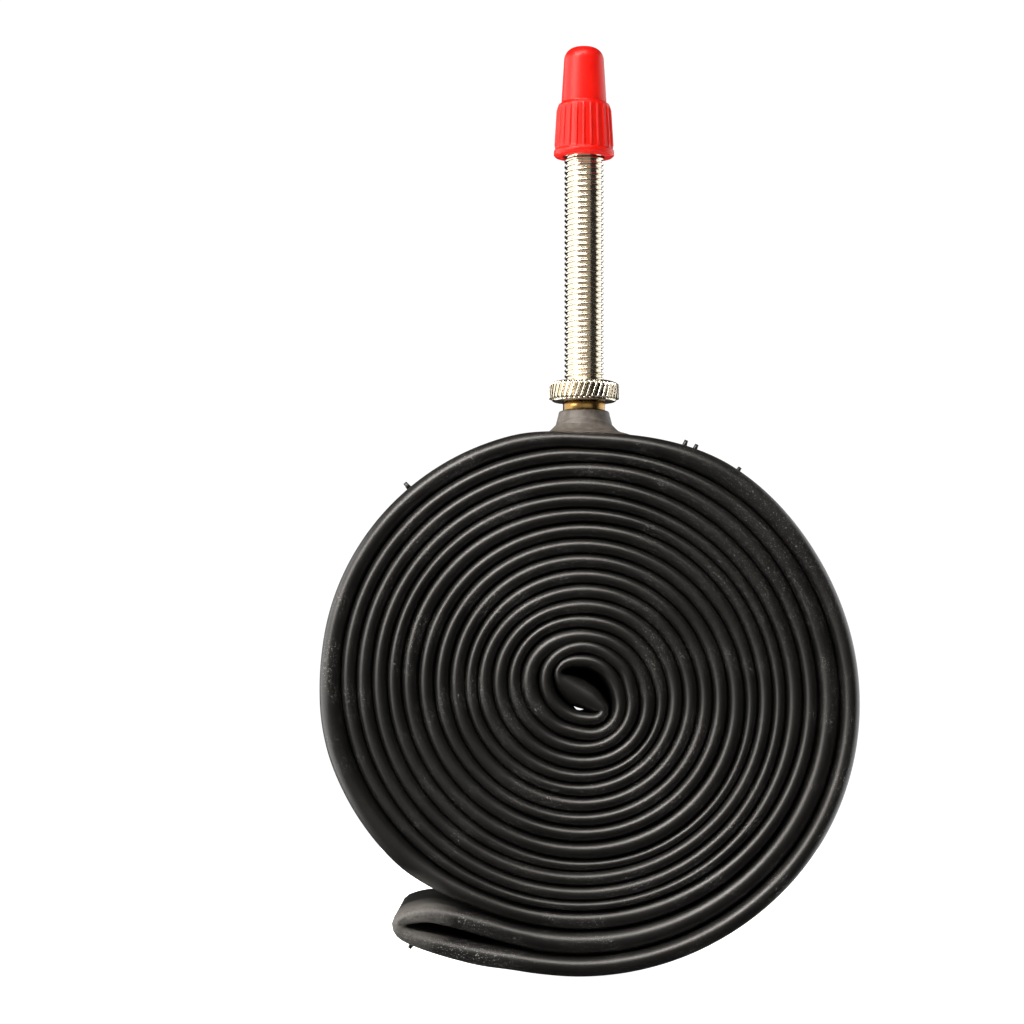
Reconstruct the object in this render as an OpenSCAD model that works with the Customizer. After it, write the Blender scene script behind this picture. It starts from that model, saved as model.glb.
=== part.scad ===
// Road bicycle inner tube, folded double and rolled up flat for storage.
// The rolled band stands on its edge with the Presta valve pointing straight up.
// Origin: on the valve axis, where the bare stem leaves the rubber base.
// +Z runs up the valve, Y is the axis of the roll, the roll's front faces -Y.

/* [Rolled tube] */
// Width of the tube when it is pressed flat
flat_w = 28; // [20:0.5:40]
// Thickness of the flat tube, both walls together
band_t = 2.08; // [1.6:0.02:2.14]
// Distance from one layer of the roll to the next
layer_pitch = 2.23; // [2.18:0.01:2.6]
// Radius of the innermost layer
inner_r = 4.6; // [4.5:0.1:6]
// Number of layers between the middle of the roll and the valve
layers = 16; // [8:2:20]
// How far the middle fold leans clockwise from level
fold_lean = 45; // [0:1:60]
// How far the loose tail leaves the circle of the roll
tail_ease = 5.2; // [3:0.1:8]
// Angle that the loose tail sweeps
tail_sweep = 73; // [40:1:80]

/* [Rubber valve base] */
// Height of the base above the tube's outer layer
base_h = 4.1; // [3.5:0.1:6]
// Diameter of the neck at its top
neck_top_d = 7.3; // [7:0.1:7.6]
// Diameter of the neck at its root
neck_root_d = 8.7; // [8:0.1:9]
// Diameter of the bonded pad
pad_d = 22; // [18:0.5:24]

/* [Valve stem] */
// Outer diameter of the stem thread
thread_d = 5.85; // [5.8:0.01:5.95]
// Pitch of the stem thread
thread_pitch = 0.8; // [0.7:0.05:1]
// Diameter of the bare shank below the lock nut
shank_d = 6.3; // [6.26:0.01:6.5]
// Height of the bare shank
shank_h = 1.35; // [1.2:0.05:2]
// Height where the stem thread ends inside the cap
thread_top = 39.2; // [38.6:0.1:39.4]
// Diameter of the thinner thread that takes the cap
cap_thread_d = 5.2; // [5:0.05:5.3]
// Height of the top rim of the stem
stem_top = 43.6; // [43:0.1:44]
// Diameter of the moulded-in foot
foot_d = 9.2; // [8.5:0.1:10]

/* [Lock nut] */
// Outer diameter over the knurl
nut_d = 10.5; // [9:0.1:12]
// Height of the lock nut
nut_h = 3.1; // [2.5:0.1:4]
// Number of knurl teeth
nut_teeth = 38; // [24:1:40]

/* [Valve core] */
// Diameter of the core's thread
core_thread_d = 4; // [3.8:0.05:4.1]
// Diameter of the core's head
core_head_d = 4.6; // [4.4:0.05:4.7]
// Distance across the two flats of the head
core_flats = 3.9; // [3.6:0.1:4.2]
// Height of the core's head
core_head_h = 2.8; // [2.4:0.1:2.8]
// Diameter of the pin's rod
rod_d = 1.4; // [1.2:0.05:1.5]
// Diameter of the pin's threaded end
pin_thread_d = 1.9; // [1.8:0.05:2]
// Travel of the pin when the thumb nut is opened
pin_travel = 2; // [1.5:0.1:2]
// Outer diameter of the thumb nut
thumb_nut_d = 4.3; // [4:0.05:4.4]
// Height of the thumb nut
thumb_nut_h = 3; // [2.6:0.1:3.1]

/* [Dust cap] */
// Height of the cap's bottom rim
cap_bottom = 37.9; // [37.8:0.1:38]
// Height of the cap's crown
cap_top = 54.3; // [54.2:0.1:55]
// Diameter of the bottom flange
cap_flange_d = 9; // [8.8:0.1:9.6]
// Diameter of the smooth upper part
cap_body_d = 6; // [5.9:0.1:6.4]
// Number of grip ribs
cap_ribs = 24; // [16:1:40]

/* [Hidden] */
$fn = 72;
eps = 0.01;
bond_gap = 0.02;    // faces that are vulcanised or clamped together
run_gap = 0.04;     // radial clearance of screw threads and sliding fits

// Roll
half_w = flat_w / 2;
top_r = inner_r + (layers - 1) * layer_pitch;
roll_r = top_r + band_t / 2;
roll_z = -base_h - roll_r;
hook_r = (2 * inner_r - layer_pitch) / 4;
tail_pair_r = inner_r + (layers - 0.5) * layer_pitch + tail_ease;
air_hole_d = 3;
wall_t = 0.9;
fold_swell = 0.15;
nub_d = 0.7;
nub_h = 0.8;
nub_sink = 0.2;                  // how deep a nub's root sits in the rubber
nub_inset = 3;                   // distance of the nubs from the roll's front
nub_angles = [56, 65.5, 68, 130];

// Rubber base
neck_rim = 0.4;                  // chamfer round the neck's top
neck_foot = 2.4;                 // depth where the neck meets the pad
pad_top = 1.6;                   // depth of the pad's top inside the neck
pad_depth = 2.5;
pad_rim_t = 0.4;
pad_crown_r = 21;
pad_crown_z = -2.2;

// Stem
thread_depth = 0.35;
embed_d = 5.8;
foot_t = 0.65;
air_bore_d = 2.4;
core_chamber_d = 3.5;
core_bore_d = core_thread_d + 2 * run_gap;
seat_z = 38.4;
chamber_z = 27;
cap_pitch = 1.06;

// Core
core_bottom = 32.6;
core_tube_d = 2.9;
core_rod_bore_d = rod_d + 0.2;
core_mouth_h = 1.2;              // depth of the wider mouth that takes the pin's thread
gasket_h = 1.2;
gasket_d = 3.9;
head_top = stem_top + bond_gap + core_head_h;
thumb_gap = 0.05;
thumb_z = head_top + thumb_gap;
thumb_top = thumb_z + thumb_nut_h;
thumb_rim = 0.5;                 // chamfer round the thumb nut's top
thumb_notches = 14;
thumb_notch_d = 0.6;
pin_top = thumb_top + pin_travel + 0.9;
tip_d = 2.3;
tip_h = 0.7;
tip_rim = 0.2;
stop_d = rod_d + 0.6;            // peened end that keeps the cup on the rod
stop_h = 0.3;
seal_d = 2.8;
seal_h = 1.3;
seal_top = core_bottom - bond_gap;
cup_h = 1.1;
cup_taper = 0.6;
cup_top = seal_top - seal_h - bond_gap;
cup_d = 2.6;

// Cap
cap_flange_h = 1.1;
collar_bottom_d = 8.5;
collar_top_d = 7.7;
shoulder_z = 45.8;
body_root_d = 6.7;
cap_skirt_bore_d = thread_d + 0.3;
cap_bore_d = cap_thread_d + 2 * run_gap;
cap_room_d = 4.8;
cap_room_top = pin_top + 0.4;
dome_r = 2;
rib_w = 0.3;
rib_out = 0.18;

// Colours
butyl = [0.09, 0.09, 0.09];
moulded_rubber = [0.2, 0.19, 0.18];
nickel = [0.83, 0.79, 0.71];
plain_brass = [0.72, 0.55, 0.3];
seal_black = [0.12, 0.12, 0.12];
seal_white = [0.9, 0.9, 0.88];
cap_red = [0.87, 0.12, 0.1];

// ---------------------------------------------------------------- rolled tube

// Outline of one layer at radius r, a full ring seen from the front
module layer_ring(r) {
    difference() {
        circle(r = r + band_t / 2);
        circle(r = r - band_t / 2);
    }
}

// Everything above the fold line, or below it
module half_plane(side) {
    reach = 2 * tail_pair_r;
    translate([-reach, side > 0 ? 0 : -reach]) square([2 * reach, reach]);
}

// The part of a ring stack between the fold line and an angle clockwise below it
module clockwise_wedge(angle) {
    reach = 2 * tail_pair_r;
    polygon([[0, 0], [reach, 0], [reach, -reach], reach * [cos(angle), -sin(angle)]]);
}

// The layers above the fold line, all about one centre
module upper_layers() {
    intersection() {
        for (i = [0 : layers - 1])
            layer_ring(inner_r + i * layer_pitch);
        half_plane(1);
    }
}

// The layers below the fold line, about a centre one pitch further left
module lower_layers() {
    translate([-layer_pitch, 0])
        intersection() {
            for (i = [0 : layers - 2])
                layer_ring(inner_r + i * layer_pitch);
            half_plane(-1);
        }
}

// S-shaped fold in the middle, where the doubled tube turns back on itself
module middle_fold() {
    for (side = [-1, 1])
        translate([side * (inner_r - hook_r) - (side > 0 ? layer_pitch : 0), 0])
            intersection() {
                layer_ring(hook_r);
                half_plane(side);
            }
}

// Last two layers, which leave the circle and end in a puffed fold
module loose_tail() {
    translate([-layer_pitch - tail_ease, 0]) {
        intersection() {
            for (side = [-0.5, 0.5])
                layer_ring(tail_pair_r + side * layer_pitch);
            clockwise_wedge(tail_sweep);
        }
        rotate(-tail_sweep)
            translate([tail_pair_r, 0]) circle(r = (layer_pitch + band_t) / 2 + fold_swell);
    }
}

// Small rubber nub left by a mould vent, standing out of the outer layer
module vent_nub(angle) {
    rotate([0, -angle, 0])
        translate([roll_r - nub_sink, 0, 0])
            rotate([0, 90, 0]) cylinder(d = nub_d, h = nub_h);
}

module inner_tube() {
    color(butyl)
        difference() {
            translate([0, 0, roll_z]) {
                rotate([90, 0, 0])
                    linear_extrude(flat_w, center = true)
                        rotate(-fold_lean) {
                            upper_layers();
                            lower_layers();
                            middle_fold();
                            loose_tail();
                        }
                for (angle = nub_angles)
                    translate([0, nub_inset - half_w, 0]) vent_nub(angle);
            }
            translate([0, 0, -base_h - wall_t]) cylinder(d = air_hole_d, h = 2 * wall_t);
        }
}

// ---------------------------------------------------------- rubber valve base

// Neck that grips the stem
module base_neck() {
    rotate_extrude()
        polygon([
            [embed_d / 2 + bond_gap, 0],
            [neck_top_d / 2 - neck_rim, 0],
            [neck_top_d / 2, -neck_rim],
            [neck_root_d / 2, -neck_foot],
            [neck_root_d / 2, -base_h - pad_depth],
            [embed_d / 2 + bond_gap, -base_h - pad_depth],
        ]);
}

// Pad that slopes away from the neck and follows the curve of the roll
module base_pad() {
    intersection() {
        rotate_extrude()
            polygon([
                [embed_d / 2 + bond_gap, -pad_top],
                [neck_root_d / 2 - 0.1, -pad_top - 0.2],
                [neck_root_d / 2 + 1.3, -pad_top - 1],
                [pad_d / 2, pad_rim_t - base_h],
                [pad_d / 2, -base_h - pad_depth],
                [embed_d / 2 + bond_gap, -base_h - pad_depth],
            ]);
        translate([0, half_w, pad_crown_z - pad_crown_r])
            rotate([90, 0, 0]) cylinder(r = pad_crown_r, h = flat_w, $fn = 180);
    }
}

module valve_base() {
    color(moulded_rubber)
        difference() {
            union() {
                base_neck();
                base_pad();
            }
            translate([0, half_w, roll_z])
                rotate([90, 0, 0]) cylinder(r = roll_r + bond_gap, h = flat_w, $fn = 180);
            translate([0, 0, -base_h - pad_depth])
                cylinder(d = foot_d + 2 * bond_gap, h = pad_depth + foot_t + 2 * bond_gap);
        }
}

// ----------------------------------------------------------------- valve stem

// Ring grooves that stand for a screw thread of crest diameter d between z0 and z1
module thread_section(d, z0, z1, pitch, depth) {
    turns = floor((z1 - z0) / pitch);
    step = (z1 - z0) / turns;
    polygon(concat(
        [[0, z0], [d / 2, z0]],
        [for (i = [0 : turns - 1], p = [0 : 2])
            [d / 2 - (p == 1 ? depth : 0), z0 + (i + [0.1, 0.5, 0.9][p]) * step]],
        [[d / 2, z1], [0, z1]]
    ));
}

module valve_stem() {
    color(nickel)
        difference() {
            rotate_extrude() {
                translate([0, -base_h + bond_gap]) square([foot_d / 2, foot_t]);
                translate([0, -base_h + bond_gap]) square([embed_d / 2, base_h]);
                square([shank_d / 2, shank_h]);
                thread_section(thread_d, shank_h - eps, thread_top, thread_pitch, thread_depth);
                thread_section(cap_thread_d, thread_top - eps, stem_top, cap_pitch, thread_depth);
            }
            translate([0, 0, -base_h - 1]) cylinder(d = air_bore_d, h = stem_top + base_h + 2);
            translate([0, 0, chamber_z]) cylinder(d = core_chamber_d, h = stem_top);
            translate([0, 0, seat_z]) cylinder(d = core_bore_d, h = stem_top);
        }
}

// ------------------------------------------------------------------- lock nut

module lock_nut() {
    chamfer = 0.6;
    lip_h = 0.45;
    bore_d = thread_d + 2 * run_gap;
    tooth_d = 0.6;
    tooth_lean = 20;
    color(nickel)
        translate([0, 0, shank_h + bond_gap])
            difference() {
                union() {
                    cylinder(d = nut_d - 0.6, h = lip_h);
                    translate([0, 0, lip_h]) cylinder(d = nut_d, h = nut_h - lip_h - chamfer);
                    translate([0, 0, nut_h - chamfer])
                        cylinder(d1 = nut_d, d2 = nut_d - 2 * chamfer, h = chamfer);
                }
                translate([0, 0, -1]) cylinder(d = bore_d, h = nut_h + 2);
                for (i = [0 : nut_teeth - 1])
                    rotate([0, 0, i * 360 / nut_teeth])
                        translate([nut_d / 2 + 0.1, 0, lip_h])
                            rotate([-tooth_lean, 0, 0])
                                cylinder(d = tooth_d, h = nut_h, $fn = 24);
            }
}

// ----------------------------------------------------------------- valve core

module core_body() {
    thread_root = seat_z + gasket_h + 0.35;
    color(plain_brass)
        difference() {
            union() {
                translate([0, 0, core_bottom]) cylinder(d = core_tube_d, h = thread_root - core_bottom);
                translate([0, 0, thread_root])
                    cylinder(d = core_thread_d, h = stem_top - thread_root + 2 * bond_gap);
                intersection() {
                    translate([0, 0, stem_top + bond_gap]) cylinder(d = core_head_d, h = core_head_h);
                    translate([0, 0, stem_top + core_head_h / 2])
                        cube([core_head_d + 1, core_flats, core_head_h + 1], center = true);
                }
            }
            translate([0, 0, core_bottom - 1])
                cylinder(d = core_rod_bore_d, h = head_top - core_bottom + 2);
            translate([0, 0, head_top - core_mouth_h])
                cylinder(d = pin_thread_d + 0.2, h = core_mouth_h + 1);
        }
}

// Sealing ring clamped between the core and the seat in the stem
module core_gasket() {
    color(seal_white)
        translate([0, 0, seat_z + bond_gap])
            difference() {
                cylinder(d = gasket_d, h = gasket_h);
                translate([0, 0, -1])
                    cylinder(d = core_tube_d + 2 * bond_gap, h = gasket_h + 2);
            }
}

module core_pin() {
    rod_bottom = cup_top - cup_h - 0.5;
    thread_bottom = head_top - 1;
    color(plain_brass) {
        translate([0, 0, rod_bottom]) cylinder(d = rod_d, h = pin_top - rod_bottom);
        translate([0, 0, thread_bottom + pin_travel])
            cylinder(d = pin_thread_d, h = pin_top - thread_bottom - pin_travel);
        translate([0, 0, pin_top - tip_h])
            cylinder(d1 = pin_thread_d, d2 = tip_d, h = tip_h - tip_rim);
        translate([0, 0, pin_top - tip_rim - eps])
            cylinder(d1 = tip_d, d2 = tip_d - 0.5, h = tip_rim + eps);
        translate([0, 0, rod_bottom - stop_h + 0.05]) cylinder(d = stop_d, h = stop_h);
    }
}

module thumb_nut() {
    color(nickel)
        translate([0, 0, thumb_z])
            difference() {
                union() {
                    cylinder(d = thumb_nut_d, h = thumb_nut_h - thumb_rim);
                    translate([0, 0, thumb_nut_h - thumb_rim])
                        cylinder(d1 = thumb_nut_d, d2 = thumb_nut_d - 2 * thumb_rim, h = thumb_rim);
                }
                translate([0, 0, -1]) cylinder(d = pin_thread_d + 2 * run_gap, h = thumb_nut_h + 2);
                for (i = [0 : thumb_notches - 1])
                    rotate([0, 0, i * 360 / thumb_notches])
                        translate([thumb_nut_d / 2 + 0.1, 0, thumb_notch_d])
                            cylinder(d = thumb_notch_d, h = thumb_nut_h, $fn = 24);
            }
}

// Rubber washer that closes the bottom of the core
module plunger_seal() {
    color(seal_black)
        translate([0, 0, seal_top - seal_h])
            difference() {
                cylinder(d = seal_d, h = seal_h);
                translate([0, 0, -1]) cylinder(d = rod_d + 2 * bond_gap, h = seal_h + 2);
            }
}

// Brass cup that holds the rubber washer on the pin
module seal_cup() {
    color(plain_brass)
        translate([0, 0, cup_top - cup_h])
            difference() {
                cylinder(d1 = cup_d - cup_taper, d2 = cup_d, h = cup_h);
                translate([0, 0, -1]) cylinder(d = rod_d + 2 * bond_gap, h = cup_h + 2);
            }
}

// ------------------------------------------------------------------- dust cap

module cap_section() {
    flange_top = cap_bottom + cap_flange_h;
    dome_z = cap_top - dome_r;
    polygon([
        [0, cap_bottom],
        [cap_flange_d / 2 - 0.1, cap_bottom],
        [cap_flange_d / 2, cap_bottom + 0.2],
        [cap_flange_d / 2, flange_top - 0.2],
        [collar_bottom_d / 2, flange_top],
        [collar_top_d / 2, shoulder_z],
        [body_root_d / 2, shoulder_z + 0.5],
        [cap_body_d / 2, dome_z],
        [0, dome_z],
    ]);
    translate([0, dome_z]) square([cap_body_d / 2 - dome_r, dome_r]);
    intersection() {
        translate([cap_body_d / 2 - dome_r, dome_z]) circle(r = dome_r);
        translate([0, dome_z - eps]) square([cap_body_d, dome_r + 1]);
    }
}

module cap_rib(angle) {
    slope = atan2((collar_bottom_d - collar_top_d) / 2, shoulder_z - cap_bottom - cap_flange_h);
    rotate([0, 0, angle])
        translate([collar_bottom_d / 2 - 0.3, -rib_w / 2, cap_bottom + 0.6])
            rotate([0, -slope, 0])
                cube([0.3 + rib_out, rib_w, shoulder_z - cap_bottom - 0.8]);
}

module dust_cap() {
    bore_step = thread_top + 0.3;
    color(cap_red)
        difference() {
            union() {
                rotate_extrude() cap_section();
                for (i = [0 : cap_ribs - 1])
                    cap_rib(i * 360 / cap_ribs);
            }
            translate([0, 0, cap_bottom - 1]) cylinder(d = cap_skirt_bore_d, h = bore_step - cap_bottom + 1);
            translate([0, 0, bore_step - eps]) cylinder(d = cap_bore_d, h = stem_top + 0.3 - bore_step);
            translate([0, 0, bore_step]) cylinder(d = cap_room_d, h = cap_room_top - bore_step);
        }
}

inner_tube();
valve_base();
valve_stem();
lock_nut();
core_body();
core_gasket();
core_pin();
thumb_nut();
plunger_seal();
seal_cup();
dust_cap();
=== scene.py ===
"""Looks of the rolled inner tube: butyl band, moulded valve base, nickel valve, red cap.

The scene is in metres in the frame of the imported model: origin where the stem leaves the
rubber base, +Z up the valve, Y along the roll's axis, the roll's front facing -Y. Sizes of
the pieces are written in mm and scaled where their meshes are made.
"""

import math

import bmesh
import bpy
import numpy as np
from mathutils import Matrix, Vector, noise


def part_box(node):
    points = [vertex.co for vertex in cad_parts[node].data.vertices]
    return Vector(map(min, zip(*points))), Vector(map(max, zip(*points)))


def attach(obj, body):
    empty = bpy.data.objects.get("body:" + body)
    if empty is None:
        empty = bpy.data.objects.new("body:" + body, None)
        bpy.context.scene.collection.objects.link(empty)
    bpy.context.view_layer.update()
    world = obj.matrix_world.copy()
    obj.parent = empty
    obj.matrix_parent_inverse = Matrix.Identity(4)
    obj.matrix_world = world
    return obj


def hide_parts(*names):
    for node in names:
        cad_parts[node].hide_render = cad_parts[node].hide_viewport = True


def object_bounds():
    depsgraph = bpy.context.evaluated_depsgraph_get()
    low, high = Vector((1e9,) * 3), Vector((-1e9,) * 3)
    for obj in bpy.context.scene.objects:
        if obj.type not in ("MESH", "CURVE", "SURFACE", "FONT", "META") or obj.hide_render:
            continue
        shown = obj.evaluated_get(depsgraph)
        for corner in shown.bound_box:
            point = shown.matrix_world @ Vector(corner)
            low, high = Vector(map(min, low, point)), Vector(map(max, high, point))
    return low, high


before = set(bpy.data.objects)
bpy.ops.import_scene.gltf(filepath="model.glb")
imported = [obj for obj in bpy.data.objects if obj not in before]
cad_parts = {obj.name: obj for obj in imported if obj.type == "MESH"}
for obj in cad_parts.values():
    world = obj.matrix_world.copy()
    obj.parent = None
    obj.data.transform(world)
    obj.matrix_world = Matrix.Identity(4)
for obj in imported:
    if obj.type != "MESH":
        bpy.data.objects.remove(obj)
cad_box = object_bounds()

MM = 0.001
TAU = 2 * math.pi


# ------------------------------------------------------------------ driving sizes, in mm

def node_box(node):
    """Lowest and highest corner of a CAD node, in mm."""
    low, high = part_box(node)
    return Vector(low) / MM, Vector(high) / MM


stem_low, stem_high = node_box("valve_stem")
nut_low, nut_high = node_box("lock_nut")
cap_low, cap_high = node_box("dust_cap")
thumb_low, thumb_high = node_box("thumb_nut")
pin_low, pin_high = node_box("core_pin")

HALF_W = node_box("inner_tube")[1].y
PAD_R = node_box("valve_base")[1].x  # radius of the base's pad
ROLL_Z = -41.9                       # height of the roll's middle

# ------------------------------------------------------------------ mesh helpers


def mesh_object(name, verts, faces, materials):
    """A mesh piece from vertices in mm."""
    mesh = bpy.data.meshes.new(name)
    mesh.from_pydata([[c * MM for c in v] for v in verts], [], faces)
    mesh.validate()
    for polygon in mesh.polygons:
        polygon.use_smooth = True
    for material in materials:
        mesh.materials.append(material)
    piece = bpy.data.objects.new(name, mesh)
    bpy.context.scene.collection.objects.link(piece)
    return piece


def ring_faces(rings, points):
    """Quads between successive rings of points, each ring closed and the last joined to the first."""
    faces = []
    for i in range(rings):
        a = i * points
        b = (i + 1) % rings * points
        for j in range(points):
            k = (j + 1) % points
            faces.append((a + j, a + k, b + k, b + j))
    return faces


def smoothstep(low, high, value):
    """0 below low, 1 above high, smooth between."""
    t = min(1.0, max(0.0, (value - low) / (high - low)))
    return t * t * (3 - 2 * t)


def bump(centre, width, value):
    """1 at centre, falling smoothly to 0 one width away."""
    t = min(1.0, abs(value - centre) / width)
    return (1 - t * t) ** 2


# ------------------------------------------------------------------ materials

# Middles of the places with more talc, in metres; the pale patch on the tail's ear is partly talc and partly
# a painted highlight
TAIL_TALC_AND_HIGHLIGHT = (-0.0250, -0.009, -0.0740)
TAIL_SPECKS = (-0.0170, -0.014, -0.0810)
SHOULDER_SPECKS = (0.0270, -0.014, -0.0200)


class Shader:
    """Builds one procedural material node by node."""

    def __init__(self, name):
        self.material = bpy.data.materials.new(name)
        self.material.use_nodes = True
        self.tree = self.material.node_tree
        self.body = self.tree.nodes["Principled BSDF"]
        self.coords = self.add("ShaderNodeTexCoord").outputs["Object"]

    def add(self, kind, **settings):
        node = self.tree.nodes.new(kind)
        for key, value in settings.items():
            setattr(node, key, value)
        return node

    def link(self, source, target):
        self.tree.links.new(source, target)

    def fill(self, socket, value):
        """Links a socket to another node's output, or sets it to a plain value."""
        if isinstance(value, bpy.types.NodeSocket):
            self.link(value, socket)
        else:
            socket.default_value = value

    def set(self, **values):
        names = {"metallic": "Metallic", "ior": "IOR", "specular": "Specular IOR Level",
                 "subsurface": "Subsurface Weight", "subsurface_radius": "Subsurface Radius",
                 "subsurface_scale": "Subsurface Scale"}
        for key, value in values.items():
            self.body.inputs[names[key]].default_value = value

    def noise(self, scale, detail, roughness, stretch=None):
        texture = self.add("ShaderNodeTexNoise")
        texture.inputs["Scale"].default_value = scale
        texture.inputs["Detail"].default_value = detail
        texture.inputs["Roughness"].default_value = roughness
        source = self.coords
        if stretch:
            mapping = self.add("ShaderNodeMapping")
            mapping.inputs["Scale"].default_value = stretch
            self.link(self.coords, mapping.inputs["Vector"])
            source = mapping.outputs["Vector"]
        self.link(source, texture.inputs["Vector"])
        return texture.outputs["Fac"]

    def ramp(self, fac, *stops):
        """A colour that changes evenly between two (position, colour) stops."""
        node = self.add("ShaderNodeValToRGB")
        for element, (position, colour) in zip(node.color_ramp.elements, stops):
            element.position = position
            element.color = (*colour, 1)
        self.link(fac, node.inputs["Fac"])
        return node.outputs["Color"]

    def levels(self, fac, low, high, out_low, out_high):
        node = self.add("ShaderNodeMapRange")
        for key, value in zip(("From Min", "From Max", "To Min", "To Max"), (low, high, out_low, out_high)):
            node.inputs[key].default_value = value
        self.link(fac, node.inputs["Value"])
        return node.outputs["Result"]

    def mix(self, fac, a, b):
        node = self.add("ShaderNodeMix", data_type="RGBA")
        for key, value in (("Factor", fac), ("A", a), ("B", b)):
            self.fill(node.inputs[key], value)
        return node.outputs["Result"]

    def nearness(self, place, near, far):
        """1 within near metres of a place on the object, 0 beyond far."""
        distance = self.add("ShaderNodeVectorMath", operation="DISTANCE")
        distance.inputs[1].default_value = place
        self.link(self.coords, distance.inputs[0])
        return self.levels(distance.outputs["Value"], near, far, 1, 0)

    def math(self, operation, a, b):
        node = self.add("ShaderNodeMath", operation=operation)
        for socket, value in zip(node.inputs, (a, b)):
            self.fill(socket, value)
        return node.outputs["Value"]

    def bump(self, height, distance, strength):
        node = self.add("ShaderNodeBump")
        node.inputs["Distance"].default_value = distance
        node.inputs["Strength"].default_value = strength
        self.link(height, node.inputs["Height"])
        self.link(node.outputs["Normal"], self.body.inputs["Normal"])

    def base(self, colour):
        self.link(colour, self.body.inputs["Base Color"])

    def rough(self, value):
        self.link(value, self.body.inputs["Roughness"])


def butyl_material():
    """Black satin butyl with fine grain, faint talc haze, a few white talc specks, and a pale patch on the
    tail's ear that is partly talc and partly a painted highlight.
    """
    s = Shader("butyl")
    s.set(specular=0.56, ior=1.5)
    haze = s.noise(60, 4, 0.6)
    grain = s.noise(2600, 3, 0.6)
    specks = s.noise(5200, 2, 0.5)
    clouds = s.noise(150, 3, 0.5)
    colour = s.ramp(haze, (0.3, (0.0021, 0.0019, 0.0017)), (0.75, (0.0048, 0.0044, 0.0040)))
    powdered = s.math("MAXIMUM", s.nearness(TAIL_SPECKS, 0.003, 0.0085),
                      s.math("MULTIPLY", s.nearness(SHOULDER_SPECKS, 0.004, 0.020), 0.5))
    powder = s.math("MAXIMUM", s.levels(clouds, 0.5, 0.68, 0, 0.7), powdered)
    talc = s.math("MULTIPLY", s.levels(specks, 0.61, 0.69, 0, 1), powder)
    # Painted highlight: the tail's ear is lightened to pale grey, partly as talc and partly to paint the
    # broad highlight on its face; the same mask also roughens it there
    talc_and_highlight = s.math("MULTIPLY", s.nearness(TAIL_TALC_AND_HIGHLIGHT, 0.004, 0.0078), s.levels(grain, 0.35, 0.6, 0.4, 1))
    colour = s.mix(talc_and_highlight, colour, (0.085, 0.081, 0.075, 1))
    s.base(s.mix(talc, colour, (0.22, 0.215, 0.21, 1)))
    satin = s.levels(s.math("ADD", s.math("MULTIPLY", haze, 0.6), s.math("MULTIPLY", grain, 0.4)),
                     0.3, 0.7, 0.35, 0.47)
    s.rough(s.math("ADD", satin, s.math("MULTIPLY", talc_and_highlight, 0.3)))
    s.bump(s.math("ADD", grain, s.math("MULTIPLY", talc, 1.2)), 0.00003, 0.55)
    return s.material


def moulded_rubber_material():
    """Grey rubber of the valve base, matt, with a slightly orange-peel face."""
    s = Shader("moulded_rubber")
    s.set(specular=0.4)
    peel = s.noise(900, 4, 0.6)
    grain = s.noise(4200, 2, 0.6)
    s.base(s.ramp(peel, (0.3, (0.042, 0.036, 0.031)), (0.72, (0.100, 0.088, 0.077))))
    s.rough(s.levels(peel, 0.3, 0.7, 0.42, 0.6))
    s.bump(s.math("ADD", peel, s.math("MULTIPLY", grain, 0.4)), 0.00006, 0.6)
    return s.material


def nickel_material():
    """Bright nickel plate with a warm cast and faint turning marks."""
    s = Shader("nickel")
    s.set(metallic=1.0)
    haze = s.noise(700, 3, 0.6)
    marks = s.noise(900, 3, 0.5, stretch=(1, 1, 9))
    s.base(s.ramp(haze, (0.25, (0.70, 0.63, 0.51)), (0.8, (0.78, 0.72, 0.61))))
    s.rough(s.levels(s.math("ADD", s.math("MULTIPLY", haze, 0.5), s.math("MULTIPLY", marks, 0.5)),
                     0.3, 0.7, 0.10, 0.24))
    s.bump(marks, 0.000006, 0.35)
    return s.material


def brass_material():
    """Bare machined brass."""
    s = Shader("brass")
    s.set(metallic=1.0)
    tarnish = s.noise(500, 4, 0.6)
    marks = s.noise(900, 3, 0.5, stretch=(1, 1, 9))
    s.base(s.ramp(tarnish, (0.25, (0.20, 0.115, 0.035)), (0.75, (0.40, 0.25, 0.085))))
    s.rough(s.levels(s.math("ADD", s.math("MULTIPLY", tarnish, 0.6), s.math("MULTIPLY", marks, 0.4)),
                     0.3, 0.7, 0.18, 0.36))
    s.bump(marks, 0.000008, 0.4)
    return s.material


def red_plastic_material():
    """Satin red polyethylene that lets a little light through."""
    s = Shader("red_plastic")
    s.set(specular=0.22, subsurface=0.25, subsurface_radius=(1.0, 0.16, 0.10), subsurface_scale=0.0010)
    cloud = s.noise(350, 3, 0.5)
    skin = s.noise(2400, 3, 0.5)
    s.base(s.ramp(cloud, (0.3, (0.49, 0.005, 0.003)), (0.75, (0.54, 0.008, 0.004))))
    s.rough(s.levels(skin, 0.3, 0.7, 0.30, 0.40))
    s.bump(skin, 0.000005, 0.3)
    return s.material


def seal_material(name, dark):
    """Small rubber or white plastic seals inside the valve."""
    s = Shader(name)
    s.set(specular=0.4)
    cloud = s.noise(1500, 3, 0.5)
    low, high = ((0.012,) * 3, (0.03,) * 3) if dark else ((0.62, 0.61, 0.57), (0.78, 0.77, 0.74))
    s.base(s.ramp(cloud, (0.3, low), (0.7, high)))
    s.rough(s.levels(cloud, 0.3, 0.7, 0.4, 0.55))
    s.bump(cloud, 0.00001, 0.3)
    return s.material


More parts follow.
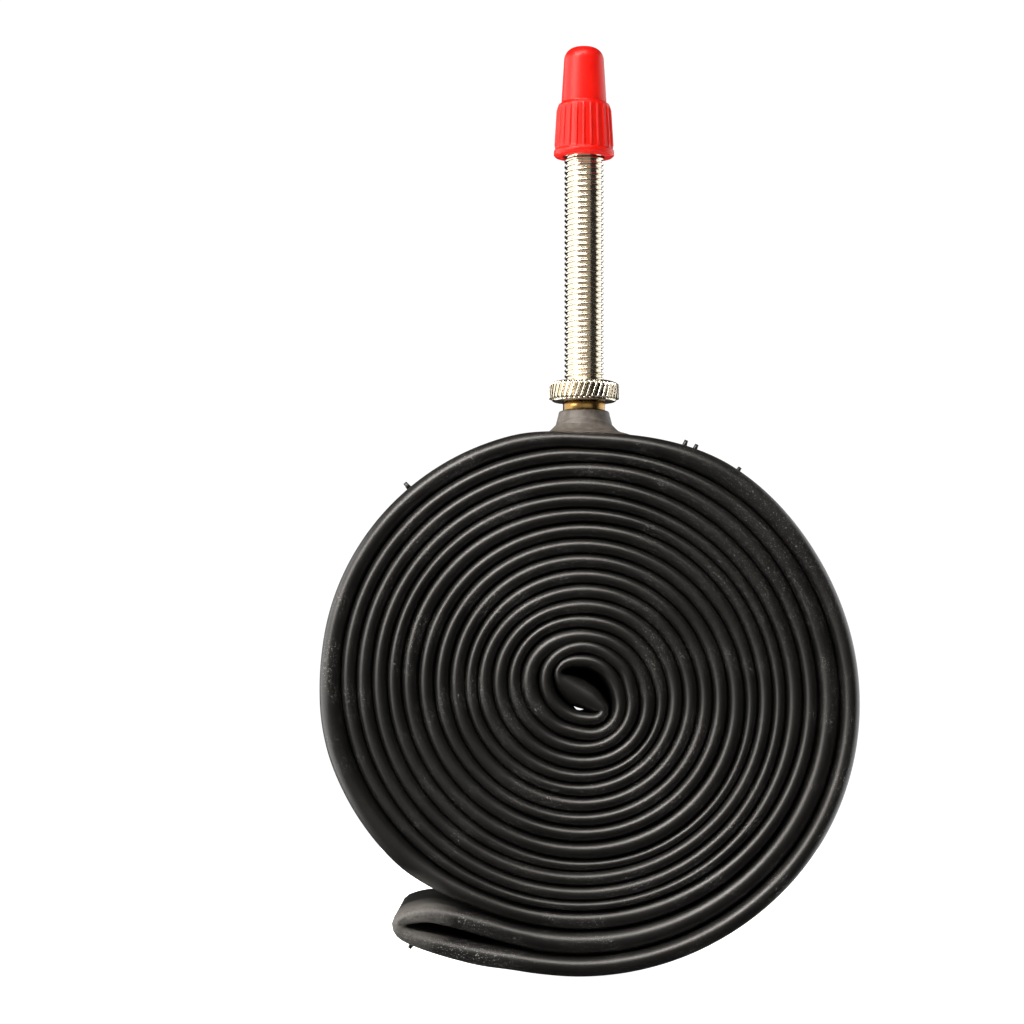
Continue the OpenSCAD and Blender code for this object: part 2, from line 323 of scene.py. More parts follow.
def paper_material():
    """White studio paper that glows a little, so that it stays white."""
    s = Shader("studio_paper")
    s.set(specular=0.2)
    fibre = s.noise(400, 4, 0.6)
    s.base(s.ramp(fibre, (0.2, (0.90, 0.90, 0.90)), (0.8, (0.94, 0.94, 0.94))))
    s.rough(s.levels(fibre, 0.3, 0.7, 0.75, 0.9))
    s.body.inputs["Emission Color"].default_value = (1, 1, 1, 1)
    s.body.inputs["Emission Strength"].default_value = 0.98
    return s.material


BUTYL = butyl_material()
MOULDED = moulded_rubber_material()
NICKEL = nickel_material()
BRASS = brass_material()
RED = red_plastic_material()
BLACK_SEAL = seal_material("black_seal", True)
WHITE_SEAL = seal_material("white_seal", False)

# ------------------------------------------------------------------ the rolled tube

START_R = 3.05               # where the spiral's pitch is counted from
PITCH = 2.192                # distance between neighbouring layers
STRAND_STEPS = 24            # points per half turn of the spiral
CURVE_STEPS = 8              # points of the smooth curve between two of those
STEP = 0.6                   # spacing of cross-sections along the band
AIR = 0.05                   # what neighbouring layers leave between them
EDGE_DEPTH = 1.55            # how far the folded edge reaches out, in half thicknesses
EDGE_POINTS = 15             # points round a folded edge
FLAT_POINTS = 5              # points between the edges
EDGE_INSET = 0.35            # how far the band's edges stay inside the roll's flat sides
FACE_INSET = 0.03            # how far the band's faces lie inside its folded edges
FACE_REACH = 0.95            # depth, from -1 to 1, where a face's swell has faded out
FLARE = 1.1                  # how far the tail's back edge stands up above its front edge
FLARE_REACH = 14             # distance from the tail's tip where that has faded out
START_A, START_B = 135, -45  # angles that the two strands of the doubled tube start from
TURNS_A = (1.42, 15.3)       # half turns between which each strand follows the spiral
TURNS_B = (1.78, 16.3)
TAIL_TIP = (-26.95, -33.9)
WEB_MIDDLE = (-1.0, 0.05)
NUB_Y = -11.0
NUB_R, NUB_TIP_R, NUB_H = 0.40, 0.27, 1.2
NUBS = ((14.7, 36.1), (16.2, 35.5), (22.4, 32.2), (-25.7, 30.0), (-25.1, -36.8))

# Places where a strand stands off the even spiral: half turns from the middle, reach, height
BULGES_A = ((1.55, 0.4, 0.7), (2.42, 0.42, 1.1), (3.5, 0.45, 0.7), (4.35, 0.35, 0.6), (5.95, 0.3, -0.4),
            (7.95, 0.3, -0.35), (9.55, 0.5, 0.65), (10.4, 0.35, 0.35), (13.72, 0.45, -0.75))
BULGES_B = ((1.4, 0.3, 0.8), (2.5, 0.35, 0.6), (3.4, 0.4, 0.7), (5.3, 0.35, 0.5), (9.9, 0.3, 0.3),
            (12.2, 0.5, -0.35), (13.95, 0.25, 0.55))
# How far the outermost turns swell, for lack of another layer round them: half turns, height
FREE_A = ((14.75, -0.2), (15.0, 0.85), (15.5, 1.25), (15.85, 1.6), (16.2, 1.6))
FREE_B = ((14.9, 0.2), (15.02, 1.4), (15.17, 1.4), (15.3, 0.8), (15.66, 0.8), (15.75, 0.15), (15.95, 2.05),
          (16.12, 1.7), (16.5, 2.15), (16.85, 2.6))
# Stretches of strand B whose edge lies deeper than its neighbours: half turns, reach, depth
SUNK_B = ((3.95, 0.35, 0.5), (10.0, 0.5, 0.6))


def layer_radius(u, angle):
    """Distance from the roll's middle after u half turns, at an angle; slightly oval."""
    c, s = math.cos(angle), math.sin(angle)
    pitch = PITCH - 0.036 * c + 0.028 * s + 0.022 * math.cos(2 * angle) - 0.034 * math.sin(2 * angle)
    return START_R + pitch * u - 0.143 * c + 0.027 * s


def keyed(keys, value):
    """A smooth curve through (position, height) keys."""
    if value <= keys[0][0]:
        return keys[0][1]
    for (v0, h0), (v1, h1) in zip(keys, keys[1:]):
        if value < v1:
            return h0 + (h1 - h0) * smoothstep(v0, v1, value)
    return keys[-1][1]


def boundary(v, angle, bulges, free):
    """Outer side of a strand, at half turn v of the line between it and the next layer."""
    swell = sum(height * bump(centre, reach, v) for centre, reach, height in bulges)
    if v > free[0][0]:
        swell = keyed(free, v)
    return layer_radius(v, angle) + swell


def strand(start_deg, first, last, outside, inside):
    """One strand, wound clockwise outwards, as points (x, z, thickness, mid-depth swell, sinking)."""
    points = []
    steps = int((last - first) * STRAND_STEPS)
    for i in range(steps + 1):
        u = first + (last - first) * i / steps
        angle = math.radians(start_deg - 180 * u)
        outer = boundary(u + 0.5, angle, *outside)
        inner = boundary(u - 0.5, angle, *inside)
        r = (outer + inner) / 2
        sunk = 0.0
        if start_deg == START_B:
            sunk = sum(depth * bump(centre, reach, u) for centre, reach, depth in SUNK_B)
        points.append((r * math.cos(angle), r * math.sin(angle), outer - inner - AIR, 0.0, sunk))
    return points


def tube_centreline():
    """The closed centreline of the doubled tube, as seen from the front.

    It runs out along strand B, round the tail, in along strand A and through the fold in the middle.
    Its points are (x, z, thickness, mid-depth swell, sinking), with x and z from the roll's middle."""
    side_a, side_b = (BULGES_A, FREE_A), (BULGES_B, FREE_B)
    start_b = [(2.55, -3.45, 1.6, 0.5, 0), (1.9, -3.85, 1.75, 0.8, 0), (0.6, -3.98, 1.95, 0.7, 0),
               (-1.4, -3.65, 2, 0.1, 0), (-3.05, -2.8, 2.05, 1.0, 0), (-4.6, -1.2, 2.05, 1.2, 0),
               (-5.35, 0.4, 2.05, 1.2, 0), (-5.55, 1.95, 2, 1.1, 0), (-5.2, 3.6, 2, 0.8, 0),
               (-4.0, 5.15, 2, 0.4, 0), (-2.1, 6.25, 2, 0, 0), (0.06, 6.6, 2, 0, 0),
               (2.4, 6.0, 2, 0, 0), (4.5, 4.6, 2, 0, 0), (6.1, 2.85, 2, 0, 0)]
    outward = strand(START_B, *TURNS_B, side_b, side_a)
    tail = [(-10.5, -38.85, 3.15, 0.2, 0), (-14.8, -38.2, 3.3, 0.4, 0), (-19.0, -37.3, 3.1, 0.7, 0),
            (-22.6, -36.4, 2.7, 0.75, 0), (-25.3, -35.5, 2.3, 0.5, 0), (-26.5, -34.8, 2.1, 0.1, 0),
            (*TAIL_TIP, 2.0, 0, 0), (-26.6, -33.1, 2.1, 0.1, 0), (-25.5, -32.65, 2.3, 0.5, 0),
            (-22.6, -32.2, 2.8, 0.75, 0), (-19.0, -32.75, 3.1, 0.7, 0), (-14.8, -33.85, 3.3, 0.4, 0),
            (-10.5, -35.05, 3.2, 0.2, 0)]
    inward = strand(START_A, *TURNS_A, side_a, side_b)[::-1]
    start_a = [(1.1, -6.15, 2, 0, 0), (3.1, -5.6, 2, 0, 0), (4.6, -4.15, 2, -0.5, 0),
               (5.25, -2.15, 2, -1.3, 0), (5.05, -0.1, 2, -1.6, 0), (4.35, 1.7, 2, -1.6, 0),
               (3.1, 3.3, 2, -1.5, 0), (1.4, 4.3, 1.95, -1.3, 0), (-0.4, 4.6, 1.9, -1.0, 0),
               (-1.75, 4.5, 1.8, -0.7, 0)]
    fold = [(-2.85, 4.1, 1.55, -1.0, 0), (-3.5, 3.5, 1.25, -1.1, 0), (-3.75, 2.8, 1.2, -1.1, 0),
            (-3.55, 2.15, 1.7, -1.1, 0), (-2.8, 1.4, 3.1, -1.3, 0), (*WEB_MIDDLE, 4.2, -1.6, 0),
            (0.8, -0.95, 3.6, -1.5, 0), (2.2, -1.95, 2.4, -1.0, 0), (2.95, -2.65, 1.6, -0.4, 0)]
    return start_b + outward + tail + inward + start_a + fold


def resample(points, step):
    """Rows at equal distances along a closed smooth curve through the given rows (x, z, ...).

    The curve is a centripetal Catmull-Rom spline."""
    p = np.array(points, dtype=float)
    dense = []
    count = len(p)
    for i in range(count):
        p0, p1, p2, p3 = p[i - 1], p[i], p[(i + 1) % count], p[(i + 2) % count]
        pairs = ((p0, p1), (p1, p2), (p2, p3))
        d01, d12, d23 = (max(1e-6, np.linalg.norm((b - a)[:2])) ** 0.5 for a, b in pairs)
        m1 = ((p1 - p0) / d01 - (p2 - p0) / (d01 + d12) + (p2 - p1) / d12) * d12
        m2 = ((p2 - p1) / d12 - (p3 - p1) / (d12 + d23) + (p3 - p2) / d23) * d12
        for t in np.linspace(0, 1, CURVE_STEPS, endpoint=False):
            dense.append((2 * t**3 - 3 * t**2 + 1) * p1 + (t**3 - 2 * t**2 + t) * m1
                         + (3 * t**2 - 2 * t**3) * p2 + (t**3 - t**2) * m2)
    dense = np.array(dense + [dense[0]])
    along = np.concatenate([[0], np.cumsum(np.linalg.norm(np.diff(dense[:, :2], axis=0), axis=1))])
    total = along[-1]
    stations = np.linspace(0, total, int(total / step), endpoint=False)
    return np.column_stack([np.interp(stations, along, column) for column in dense.T]), stations


def section_outline():
    """Cross-section of the flattened tube as (across, depth, roundness).

    across is +-1 at the two faces, depth is +-1 from back to front; roundness is how far a point
    reaches into the rounded edge, or None on the flat faces."""
    outline = []
    for side in (1, -1):
        for i in range(EDGE_POINTS):
            a = math.pi * i / (EDGE_POINTS - 1)
            outline.append((side * math.cos(a), side, math.sin(a)))
        for i in range(1, FLAT_POINTS + 1):
            outline.append((-side, side * (1 - 2 * i / (FLAT_POINTS + 1)), None))
    return outline


def edge_unevenness(s):
    """How far the front and back edges of the band stand in or out at a station."""
    slow, fast = 0.022, 0.09             # waves per mm of band
    front = 0.38 * noise.noise(Vector((s * slow, 5.0, 2.0)))
    front += 0.10 * noise.noise(Vector((s * fast, 1.0, 4.0)))
    back = 0.45 * noise.noise(Vector((s * slow, 9.0, 6.0)))
    return front, back


def build_tube():
    """The band as one closed sweep of its cross-section along the centreline."""
    line, stations = resample(tube_centreline(), STEP)
    count = len(line)
    flat = line[:, :2]
    tangent = np.roll(flat, -1, axis=0) - np.roll(flat, 1, axis=0)
    tangent /= np.linalg.norm(tangent, axis=1)[:, None]
    normal = np.column_stack([tangent[:, 1], -tangent[:, 0]])
    outline = section_outline()
    verts = []
    for i in range(count):
        x, z, thick, swell, sunk = line[i]
        front, back = edge_unevenness(stations[i])
        tip_distance = math.hypot(x - TAIL_TIP[0], z - TAIL_TIP[1])
        flare = FLARE * (1 - smoothstep(0, FLARE_REACH, tip_distance))
        half = thick / 2
        edge = HALF_W - half * EDGE_DEPTH - EDGE_INSET
        for across, depth, roundness in outline:
            n = across * half
            y = depth * edge
            if roundness is None:
                n += swell * max(0.0, across * math.copysign(1, swell)) * bump(0, FACE_REACH, depth)
                n -= across * FACE_INSET
            else:
                y += depth * half * EDGE_DEPTH * roundness
            y += (sunk + front) * max(0.0, -depth) + back * max(0.0, depth)
            lift = flare * (y / HALF_W + 1) / 2
            verts.append((x + normal[i][0] * n, y, ROLL_Z + z + lift + normal[i][1] * n))
    tube = mesh_object("rolled_tube", verts, ring_faces(count, len(outline)), [BUTYL])
    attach(tube, "tube")
    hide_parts("inner_tube")


def build_vent_nubs():
    """Short rubber spikes the mould's air vents leave on the tube's outer face."""
    for x, z in NUBS:
        out = Vector((x, 0, z)).normalized()
        place = (x * MM, NUB_Y * MM, (ROLL_Z + z) * MM)
        bpy.ops.mesh.primitive_cone_add(vertices=12, radius1=NUB_R * MM, radius2=NUB_TIP_R * MM,
                                        depth=NUB_H * MM, location=place)
        nub = bpy.context.object
        nub.name = "vent_nub"
        nub.rotation_euler = out.to_track_quat("Z", "Y").to_euler()
        nub.data.materials.append(BUTYL)
        bpy.ops.object.shade_smooth()
        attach(nub, "tube")


# ------------------------------------------------------------------ valve parts

CAP_RIBS = 24
CAP_MOUTH_R = 3.15           # where the cap's outer and inner skins meet
PAD_START = 5.6              # radius where the base's neck has become its pad
PAD_RISE = 0.35              # how far the pad's rim stands above the tube
TUBE_R = 37.75               # radius of the tube's outer face under the pad


def revolve(profile, segments, radius_at):
    """Vertices and faces of a profile of (radius, height) points turned about the valve axis.

    radius_at(radius, height, angle) may reshape the surface. Ends at radius 0 are closed by a fan."""
    verts, faces = [], []
    rings = []
    for r, z in profile:
        if r <= 1e-9:
            rings.append([len(verts)])
            verts.append((0, 0, z))
            continue
        ring = []
        for k in range(segments):
            a = TAU * k / segments
            rr = radius_at(r, z, a)
            ring.append(len(verts))
            verts.append((rr * math.cos(a), rr * math.sin(a), z))
        rings.append(ring)
    for lower, upper in zip(rings, rings[1:]):
        for k in range(segments):
            n = (k + 1) % segments
            if len(lower) == 1 and len(upper) > 1:
                faces.append((lower[0], upper[n], upper[k]))
            elif len(upper) == 1 and len(lower) > 1:
                faces.append((lower[k], lower[n], upper[0]))
            elif len(lower) > 1:
                faces.append((lower[k], lower[n], upper[n], upper[k]))
    return verts, faces


def arc(cx, cz, r, start, end, steps):
    """Points of an arc in the (radius, height) plane, angles in degrees."""
    return [(cx + r * math.cos(math.radians(start + (end - start) * i / steps)),
             cz + r * math.sin(math.radians(start + (end - start) * i / steps))) for i in range(steps + 1)]


def fix_normals(piece):
    """Merges doubled vertices and makes a piece's faces point outwards."""
    bm = bmesh.new()
    bm.from_mesh(piece.data)
    bmesh.ops.remove_doubles(bm, verts=bm.verts, dist=1e-7)
    bmesh.ops.recalc_face_normals(bm, faces=bm.faces)
    bm.to_mesh(piece.data)
    bm.free()


def finish_piece(piece, body, slot, *nodes):
    """Puts a piece on its body and lets it stand for its CAD nodes."""
    fix_normals(piece)
    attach(piece, body)
    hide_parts(*nodes)
    return piece


def thread_wave(r_crest, depth, pitch, z0, z1, fade):
    """A radius function for a right-handed helical thread that fades out at two heights."""
    def radius(r, z, a):
        if abs(r - r_crest) > 1e-6 or z <= z0 or z >= z1:
            return r
        phase = (z / pitch - a / TAU) % 1.0
        v = abs(2 * phase - 1)
        profile = smoothstep(0.12, 0.88, v)
        ends = smoothstep(0, fade, z - z0) * smoothstep(0, fade, z1 - z)
        return r - depth * (1 - profile) * ends
    return radius


def build_stem():
    """Valve stem: foot, bare shank, fine outer thread, thinner cap thread and hollow bore."""
    shank_r, shank_h = 3.15, 1.35
    thread_r, thread_top = 2.925, 39.2
    cap_r, stem_top = 2.6, stem_high.z
    foot_r = stem_high.x
    foot_z = stem_low.z
    bore_r, chamber_r, core_r = 1.2, 1.75, 2.04
    seat_z, chamber_z = 38.4, 27.0
    pitch, groove = 0.8, 0.30
    cap_pitch, cap_groove = 1.06, 0.36
    per_turn = 10                        # profile points per turn of thread
    outside = [(bore_r, foot_z), (foot_r - 0.15, foot_z), (foot_r, foot_z + 0.15), (foot_r, foot_z + 0.5),
               (foot_r - 0.15, foot_z + 0.65), (2.9, foot_z + 0.65), (2.9, -0.05), (shank_r - 0.06, -0.02),
               (shank_r, 0.05), (shank_r, shank_h - 0.12), (shank_r - 0.1, shank_h)]
    steps = int((thread_top - shank_h) / pitch * per_turn)
    thread = [(thread_r, shank_h + 0.03 + (thread_top - shank_h - 0.06) * i / steps)
              for i in range(steps + 1)]
    cap_steps = int((stem_top - thread_top) / cap_pitch * per_turn)
    cap_thread = [(cap_r, thread_top + 0.2 + (stem_top - thread_top - 0.4) * i / cap_steps)
                  for i in range(cap_steps + 1)]
    inside = [(core_r + 0.25, stem_top), (core_r, stem_top - 0.2), (core_r, seat_z),
              (chamber_r, seat_z - 0.15), (chamber_r, chamber_z), (bore_r, chamber_z - 0.3),
              (bore_r, foot_z)]
    profile = outside + thread + [(cap_r - 0.1, thread_top + 0.05)] + cap_thread
    profile += [(cap_r - 0.15, stem_top)] + inside
    main = thread_wave(thread_r, groove, pitch, shank_h, thread_top, 0.5)
    upper = thread_wave(cap_r, cap_groove, cap_pitch, thread_top + 0.2, stem_top - 0.1, 0.5)

    def radius(r, z, a):
        return upper(r, z, a) if abs(r - cap_r) < 1e-6 else main(r, z, a)

    verts, faces = revolve(profile, 96, radius)
    stem = mesh_object("threaded_stem", verts, faces, [NICKEL, BRASS])
    finish_piece(stem, "tube", "nickel", "valve_stem")
    for polygon in stem.data.polygons:
        z = polygon.center.z / MM
        if z < shank_h - 0.02:
            polygon.material_index = 1
    return stem


def build_lock_nut():
    """Ring nut with slanted knurling, a chamfered top and a thin lip underneath."""
    r = nut_high.x
    z0, z1 = nut_low.z, nut_high.z
    bore = 2.965
    teeth, groove = 38, 0.58
    slant = -0.85                        # teeth that a groove moves round from bottom to top
    lip = 0.42
    chamfer = 0.55
    knurl_low, knurl_high = z0 + lip, z1 - chamfer
    profile = [(bore + 0.25, z0), (r - 0.75, z0), (r - 0.5, z0 + 0.12), (r - 0.5, z0 + lip - 0.1),
               (r - 0.42, z0 + lip - 0.03)]
    rows = 14
    profile += [(r, knurl_low + (knurl_high - knurl_low) * i / rows) for i in range(rows + 1)]
    profile += [(r - 0.42, z1 - 0.28), (r - 0.8, z1 - 0.12), (r - 1.15, z1 - 0.02), (r - 1.5, z1),
                (bore + 0.3, z1), (bore, z1 - 0.3), (bore, z0 + 0.25), (bore + 0.25, z0)]

    def radius(rr, z, a):
        if rr < r - 0.45 or z > knurl_high + 0.3:
            return rr
        turn = (a / TAU * teeth + slant * (z - knurl_low) / (knurl_high - knurl_low)) % 1.0
        v = abs(2 * turn - 1)
        depth = groove * (1 - smoothstep(0.22, 0.74, v))
        return rr - depth * (1 if rr > r - 0.01 else 0.25)

    verts, faces = revolve(profile, teeth * 12, radius)
    nut = mesh_object("knurled_lock_nut", verts, faces, [NICKEL])
    return finish_piece(nut, "lock_nut", "nickel", "lock_nut")


def cap_outside():
    """Outer skin of the cap: flange, ribbed collar, smooth tapered body and rounded crown."""
    z0, z1 = cap_low.z, cap_high.z
    flange_r, flange_top = 4.5, z0 + 1.1
    collar_low_r, collar_high_r, shoulder = 4.25, 3.85, 45.8
    body_low_r, body_high_r, dome_r = 3.35, 2.98, 2.0
    dome_z = z1 - dome_r
    collar_rows, body_rows = 10, 6
    rib_out = 0.20
    flange = [(CAP_MOUTH_R, z0), (flange_r - 0.25, z0), (flange_r, z0 + 0.25), (flange_r, flange_top - 0.3),
              (flange_r - 0.06, flange_top - 0.12), (collar_low_r + 0.02, flange_top)]
    collar = [(collar_low_r + (collar_high_r - collar_low_r) * i / collar_rows,
               flange_top + 0.08 + (shoulder - flange_top - 0.4) * i / collar_rows)
              for i in range(collar_rows + 1)]
    neck = [(collar_high_r - 0.02, shoulder - 0.2), (collar_high_r - 0.12, shoulder - 0.05),
            (body_low_r + 0.25, shoulder), (body_low_r + 0.03, shoulder + 0.12),
            (body_low_r, shoulder + 0.35)]
    body = [(body_low_r + (body_high_r - body_low_r) * i / body_rows,
             shoulder + 0.5 + (dome_z - shoulder - 0.5) * i / body_rows) for i in range(body_rows + 1)]
    dome = arc(body_high_r - dome_r, dome_z, dome_r, 8, 90, 10) + [(0, z1)]

    def radius(r, z, a):
        if collar_high_r - 0.001 <= r <= collar_low_r + 0.001 and flange_top < z < shoulder - 0.25:
            v = abs(2 * ((a / TAU * CAP_RIBS) % 1.0) - 1)
            ends = smoothstep(0, 0.25, z - flange_top) * smoothstep(0, 0.5, shoulder - 0.2 - z)
            return r + rib_out * smoothstep(0.66, 0.88, v) * ends
        return r

    return revolve(flange + collar + neck + body + dome, CAP_RIBS * 16, radius)


def cap_inside():
    """Inner skin of the cap: room for the valve's core, thread and mouth."""
    z0 = cap_low.z
    room_top, room_low = 52.8, 44.2
    thread_r, thread_low, thread_high = 2.64, 39.6, 43.6
    pitch, groove, rows = 1.06, 0.12, 38
    room = [(0, room_top), (2.0, room_top), (2.35, room_top - 0.5), (2.4, room_low),
            (2.6, thread_high + 0.3), (thread_r, thread_high)]
    thread = [(thread_r, thread_high - (thread_high - thread_low) * i / rows) for i in range(rows + 1)]
    mouth = [(thread_r, thread_low - 0.1), (3.05, thread_low - 0.2), (3.08, z0 + 0.2), (CAP_MOUTH_R, z0)]

    def radius(r, z, a):
        if abs(r - thread_r) > 1e-6:
            return r
        phase = (z / pitch - a / TAU) % 1.0
        return r + groove * (1 - abs(2 * phase - 1))

    return revolve(room + thread + mouth, CAP_RIBS * 8, radius)


def build_cap():
    """Dust cap: an outer and an inner skin that meet round the mouth."""
    verts, faces = cap_outside()
    offset = len(verts)
    inner_verts, inner_faces = cap_inside()
    verts += inner_verts
    faces += [tuple(v + offset for v in face) for face in inner_faces]
    cap = mesh_object("dust_cap_shell", verts, faces, [RED])
    return finish_piece(cap, "cap", "red_plastic", "dust_cap")


def tube_face(x):
    """Height of the tube's outer face under the valve."""
    return ROLL_Z + math.sqrt(TUBE_R * TUBE_R - x * x)


def pad_height(x, y, r):
    """Top of the base's pad: slightly crowned near the neck, lying on the tube at its rim."""
    crown_z, slope_y, curve_x = -2.78, 0.0605, 0.42 / 34
    crown = crown_z - slope_y * abs(y) ** 1.02 - curve_x * x * x
    k = smoothstep(PAD_START, PAD_R, r)
    return crown * (1 - k) + (tube_face(x) + PAD_RISE) * k


def base_point(r, z, a):
    """Vertex of the base at an angle, with a seam across the front; a height of None is the pad's."""
    seam_z, seam_sag, seam_step = -1.2, 1.3, 0.04
    neck_foot_z, neck_foot_r = -2.05, 4.3
    x, y = r * math.cos(a), r * math.sin(a)
    if z is None:
        return x, y, pad_height(x, y, r)
    height = z
    if z < neck_foot_z:
        w = smoothstep(neck_foot_r, PAD_START, r)
        height = z * (1 - w) + pad_height(x, y, r) * w
    if z < -0.5 and y < 0:
        seam = seam_z - seam_sag * (x / 4.9) ** 2
        below = 1 - smoothstep(seam - 0.12, seam + 0.05, z)
        grow = 1 + seam_step * below * smoothstep(0, 0.5, -y / r)
        x, y = x * grow, y * grow
    return x, y, height


def build_base():
    """Moulded rubber base: a neck round the stem that flares into a pad bonded to the tube."""
    bore, under_z = 2.92, -4.0
    neck_rows, pad_rows, segments = 14, 12, 120
    rim = ((PAD_R + 0.12, 0.3), (PAD_R, 1.2))    # radius, and how far below the pad's edge
    profile = [(bore, 0.0), (3.4, 0.0)] + arc(3.4, -0.40, 0.40, 90, 10, 5)
    profile += [(3.8 + 0.42 * i / neck_rows, -0.45 - 1.6 * i / neck_rows) for i in range(1, neck_rows + 1)]
    profile += [(4.27, -2.13), (4.34, -2.21), (4.43, -2.29), (4.55, -2.38), (4.75, -2.5), (5.1, -2.64)]
    profile += [(PAD_START + (PAD_R - PAD_START) * (i / pad_rows) ** 0.9, None) for i in range(pad_rows + 1)]
    angles = [TAU * k / segments for k in range(segments)]
    verts = [base_point(r, z, a) for r, z in profile for a in angles]
    for r, drop in rim:
        for a in angles:
            x, y = r * math.cos(a), r * math.sin(a)
            verts.append((x, y, tube_face(x) + PAD_RISE - drop))
    verts += [(bore * math.cos(a), bore * math.sin(a), under_z) for a in angles]
    base = mesh_object("valve_boot", verts, ring_faces(len(verts) // segments, segments), [MOULDED])
    return finish_piece(base, "tube", "moulded_rubber", "valve_base")


def build_thumb_nut():
    """Small knurled nut that locks the valve shut."""
    r, z0, z1 = thumb_high.x, thumb_low.z, thumb_high.z
    bore = 0.99
    teeth, groove = 20, 0.16
    profile = [(bore + 0.15, z0), (1.5, z0), (1.62, z0 + 0.1), (1.62, z0 + 0.5), (r - 0.15, z0 + 0.62)]
    rows = 6
    profile += [(r, z0 + 0.75 + (z1 - z0 - 1.25) * i / rows) for i in range(rows + 1)]
    profile += [(r - 0.2, z1 - 0.3), (r - 0.5, z1 - 0.05), (r - 0.7, z1), (bore + 0.12, z1),
                (bore, z1 - 0.15), (bore, z0 + 0.15), (bore + 0.15, z0)]

    def radius(rr, z, a):
        if rr < r - 0.001:
            return rr
        v = abs(2 * ((a / TAU * teeth) % 1.0) - 1)
        return rr - groove * (1 - smoothstep(0.2, 0.7, v))

    verts, faces = revolve(profile, teeth * 8, radius)
    nut = mesh_object("knurled_thumb_nut", verts, faces, [NICKEL])
    return finish_piece(nut, "thumb_nut", "nickel", "thumb_nut")


def build_pin():
    """Valve pin: plain rod, fine thread at the top and a peened tip."""
    z0, z1 = pin_low.z, pin_high.z
    rod, crest, tip = 0.7, 0.95, 1.15
    thread_low = 47.6
    pitch, groove, per_turn = 0.4, 0.14, 8
    profile = [(0, z0), (rod + 0.25, z0), (rod + 0.3, z0 + 0.08), (rod + 0.3, z0 + 0.22), (rod, z0 + 0.3),
               (rod, thread_low - 0.3), (crest - 0.05, thread_low - 0.05)]
    high = z1 - 0.75
    steps = int((high - thread_low) / pitch * per_turn)
    profile += [(crest, thread_low + (high - thread_low) * i / steps) for i in range(steps + 1)]
    profile += [(crest, z1 - 0.7), (tip - 0.05, z1 - 0.3), (tip, z1 - 0.2), (tip - 0.15, z1 - 0.06),
                (tip - 0.4, z1), (0, z1)]
    verts, faces = revolve(profile, 48, thread_wave(crest, groove, pitch, thread_low, high, 0.2))
    pin = mesh_object("threaded_pin", verts, faces, [BRASS])
    return finish_piece(pin, "pin", "brass", "core_pin")


def dress_cad_nodes():
    """Materials of the CAD nodes that stay, and a small rounding of their edges."""
    rounding = 0.06
    for node, material in (("core_body", BRASS), ("core_gasket", WHITE_SEAL), ("plunger_seal", BLACK_SEAL),
                           ("seal_cup", BRASS)):
        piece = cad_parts[node]
        piece.data.materials.clear()
        piece.data.materials.append(material)
        edge = piece.modifiers.new("edge", "BEVEL")
        edge.width = rounding * MM
        edge.segments = 2
        edge.limit_method = "ANGLE"


# ------------------------------------------------------------------ studio


def area_light(name, place, target, size, power, colour=(1, 1, 1)):
    """A soft box light aimed at a point."""
    light = bpy.data.lights.new(name, "AREA")
    light.shape = "RECTANGLE"
    light.size, light.size_y = size
    light.energy = power
    light.color = colour
    holder = bpy.data.objects.new(name, light)
    bpy.context.scene.collection.objects.link(holder)
    holder.location = place
    holder.rotation_euler = (Vector(target) - Vector(place)).to_track_quat("-Z", "Y").to_euler()
    return holder


def build_stage():
    """Round sheet of white paper under the object."""
    sheet_r, segments, clearance = 380, 96, 0.1
    floor_z = cad_box[0][2] / MM - clearance
    verts = [(sheet_r * math.cos(TAU * k / segments), sheet_r * math.sin(TAU * k / segments), floor_z)
             for k in range(segments)]
    floor = mesh_object("paper_sheet", verts, [tuple(range(segments))], [paper_material()])
    floor.visible_glossy = False


def around(centre, azimuth, polar, distance):
    """A place seen from the front at an azimuth round the centre, and polar degrees off the view axis."""
    a, p = math.radians(azimuth), math.radians(polar)
    return (centre[0] + distance * math.sin(p) * math.cos(a), centre[1] - distance * math.cos(p),
            centre[2] + distance * math.sin(p) * math.sin(a))


def only_for(light, *pieces):
    """Lets a light shine on the named pieces only."""
    group = bpy.data.collections.new(light.name + "_receivers")
    for piece in pieces:
        group.objects.link(piece)
    light.light_linking.receiver_collection = group


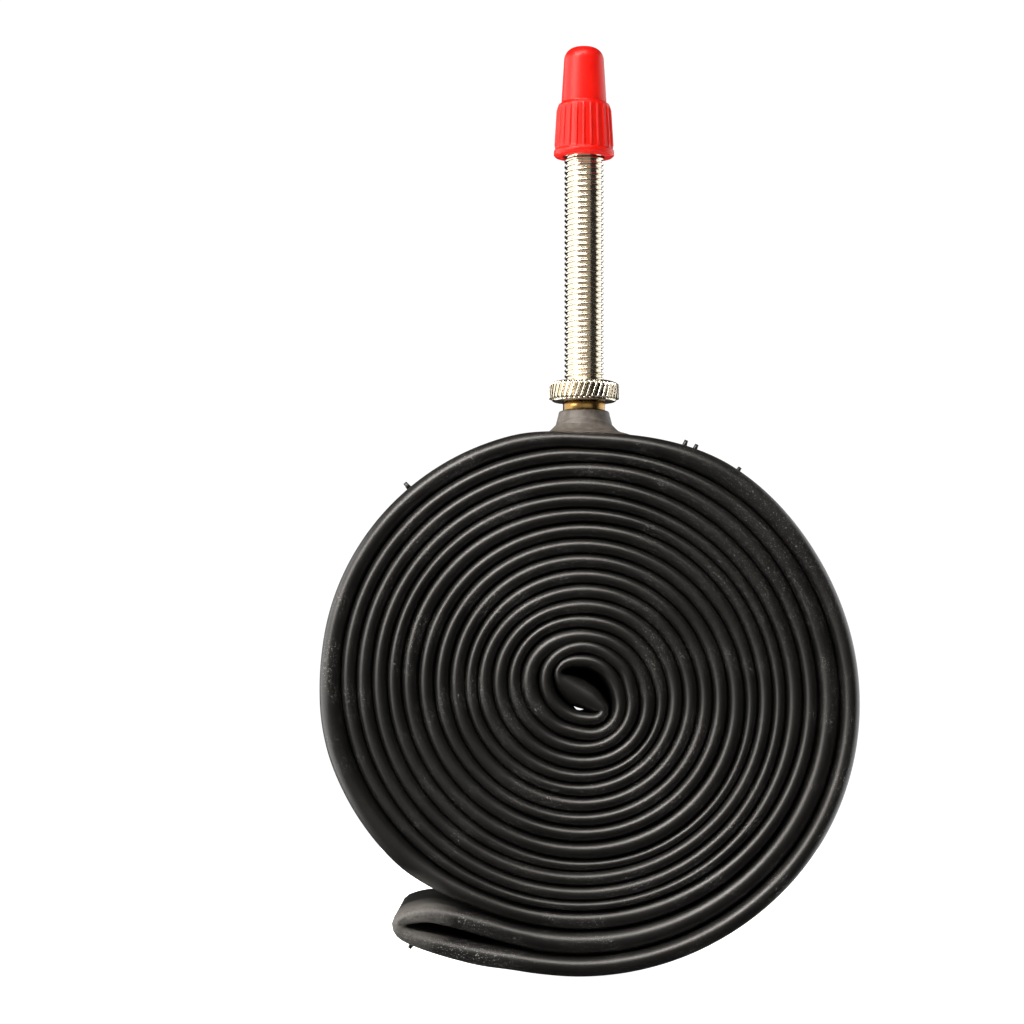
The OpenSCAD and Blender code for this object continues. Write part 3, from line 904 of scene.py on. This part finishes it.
def build_lights(valve_parts):
    """Soft panels: an arc of keys up on the left, pale walls round it, two panels for the valve alone."""
    aim, stem_aim = (0, 0, -0.042), (0, 0, 0.02)
    key_polar, key_distance, key_size = 59, 0.69, (0.30, 0.30)
    for name, azimuth, power in (("key_top", 92, 3.4), ("key", 124, 6.0), ("key_side", 158, 2.7)):
        place = around(aim, azimuth, key_polar, key_distance)
        area_light(name, place, aim, key_size, power, (1.0, 0.95, 0.89))
    area_light("wall_left", (-0.75, 0.16, -0.02), aim, (1.0, 0.9), 7.5, (1.0, 0.985, 0.96))
    area_light("wall_right", (0.62, 0.42, -0.02), aim, (0.9, 0.9), 4.6)
    area_light("wall_front", (-0.15, -1.3, 0.0), aim, (0.9, 0.9), 0.10, (1.0, 0.95, 0.88))
    valve_side = area_light("valve_side", (-0.62, -0.62, 0.02), stem_aim, (1.1, 0.7), 1.9,
                            (1.0, 0.95, 0.87))
    valve_front = area_light("valve_front", (0.28, -0.95, 0.02), stem_aim, (1.0, 0.7), 1.7,
                             (1.0, 0.93, 0.83))
    only_for(valve_side, *valve_parts)
    only_for(valve_front, *(part for part in valve_parts if "nut" not in part.name))


def build_world():
    """A room that looks white to the camera but adds only a little light to the object."""
    room_light, seen_white = 0.03, 1.05
    world = bpy.data.worlds.new("studio")
    world.use_nodes = True
    tree = world.node_tree
    seen = tree.nodes.new("ShaderNodeLightPath").outputs["Is Camera Ray"]
    strength = tree.nodes.new("ShaderNodeMapRange")
    strength.inputs["To Min"].default_value = room_light
    strength.inputs["To Max"].default_value = seen_white
    tree.links.new(seen, strength.inputs["Value"])
    background = tree.nodes["Background"]
    background.inputs["Color"].default_value = (1, 1, 1, 1)
    tree.links.new(strength.outputs["Result"], background.inputs["Strength"])
    bpy.context.scene.world = world


def build_camera():
    """Square on to the roll's front and level with its middle; the picture is wider than the object."""
    distance, view_width = 0.45, 0.15284     # metres; the width is that of the view at the valve
    camera = bpy.data.cameras.new("camera")
    camera.sensor_width = 36
    camera.lens = camera.sensor_width * distance / view_width
    camera.shift_x = -0.0703                 # the valve stands right of the picture's middle
    camera.shift_y = 0.1758                  # and the roll below it
    holder = bpy.data.objects.new("camera", camera)
    bpy.context.scene.collection.objects.link(holder)
    holder.location = (0, -distance, ROLL_Z * MM)
    holder.rotation_euler = (math.pi / 2, 0, 0)
    bpy.context.scene.camera = holder
    bpy.context.scene.view_settings.view_transform = "Standard"


build_tube()
build_vent_nubs()
build_cap()
valve_parts = [build_stem(), build_lock_nut(), build_base(), build_thumb_nut(), build_pin()]
dress_cad_nodes()
build_stage()
build_lights(valve_parts)
build_world()
build_camera()
